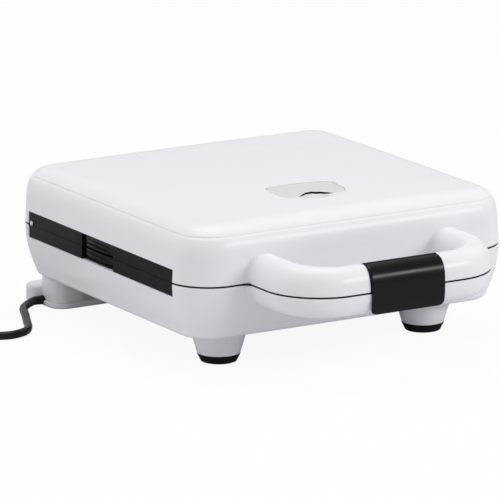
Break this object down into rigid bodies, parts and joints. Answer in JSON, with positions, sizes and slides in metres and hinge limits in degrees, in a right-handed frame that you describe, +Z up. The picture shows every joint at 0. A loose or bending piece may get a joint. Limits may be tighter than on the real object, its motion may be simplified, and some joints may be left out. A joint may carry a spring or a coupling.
{
  "type": "sandwich toaster",
  "caption": "White countertop sandwich toaster with a hinged lid, loop handle with a black latch, lift-out triangle plates, indicator window and a coiled mains lead.",
  "frame": {"origin": "on the table, under the middle of the toaster's outline, its mains lead left out", "axes": "+X to the right side, -Y to the front with the handle, +Z up"},
  "size_m": [0.4667, 0.4308, 0.1275],
  "materials": {
    "white_shell": "glossy moulded polypropylene",
    "black_tray": "fine-textured heat-proof polyester",
    "nonstick_plate": "die-cast, dark non-stick coating",
    "bright_sheet": "aluminised sheet",
    "element_sheath": "annealed tube, dull",
    "black_rubber": "matt",
    "lead_jacket": "smooth soft PVC",
    "plug_brass": "polished",
    "bright_pin": "bright zinc",
    "screw_steel": "zinc plated",
    "white_ceramic": "unglazed",
    "smoked_window": "clear tinted, glossy",
    "red_lamp": "clear tinted",
    "green_lamp": "clear tinted",
    "circuit_board": "paper laminate",
    "black_satin": "satin moulded",
    "black_gloss": "polished moulded"
  },
  "bodies": {
    "base": {"base_shell": "white_shell", "foot_cones": "white_shell", "base_tray": "black_tray", "lower_plate": "nonstick_plate", "lower_floors": "nonstick_plate", "lower_reflector": "bright_sheet", "lower_element": "element_sheath", "lower_saddles": "bright_sheet", "lower_handle_insert": "black_tray", "foot_pads": "black_rubber", "lead_store": "white_shell", "lead_gland": "lead_jacket", "mains_lead": "lead_jacket", "lead_coil": "lead_jacket", "lead_tie": "lead_jacket", "plug_body": "lead_jacket", "plug_pins": "plug_brass", "hinge_pins": "bright_pin", "base_screws": "screw_steel", "terminal_block": "white_ceramic", "thermal_fuse": "white_ceramic"},
    "lid": {"lid_shell": "white_shell", "lid_tray": "black_tray", "upper_plate": "nonstick_plate", "upper_floors": "nonstick_plate", "upper_reflector": "bright_sheet", "upper_element": "element_sheath", "upper_saddles": "bright_sheet", "upper_handle_insert": "black_tray", "lid_screws": "screw_steel", "indicator_window": "smoked_window", "power_lamp": "red_lamp", "ready_lamp": "green_lamp", "lamp_board": "circuit_board", "thermostat": "white_ceramic", "latch_pin": "bright_pin", "side_studs": "bright_pin"},
    "latch": {"latch": "black_satin"},
    "lower_release": {"lower_release_tab": "black_gloss"},
    "upper_release": {"upper_release_tab": "black_gloss"}
  },
  "joints": [
    {"name": "lid_hinge", "type": "hinge", "parent": "base", "child": "lid", "pos_m": [0, 0.1865, 0.077], "axis": [-1, 0, 0], "range_deg": [0, 100]},
    {"name": "latch_hinge", "type": "hinge", "parent": "lid", "child": "latch", "pos_m": [0, -0.1795, 0.096], "axis": [-1, 0, 0], "range_deg": [0, 35]},
    {"name": "lower_release_slide", "type": "slide", "parent": "base", "child": "lower_release", "axis": [-1, 0, 0], "range_m": [0, 0.005], "stiffness_N_per_m": 150},
    {"name": "upper_release_slide", "type": "slide", "parent": "lid", "child": "upper_release", "axis": [-1, 0, 0], "range_m": [0, 0.005], "stiffness_N_per_m": 150}
  ]
}
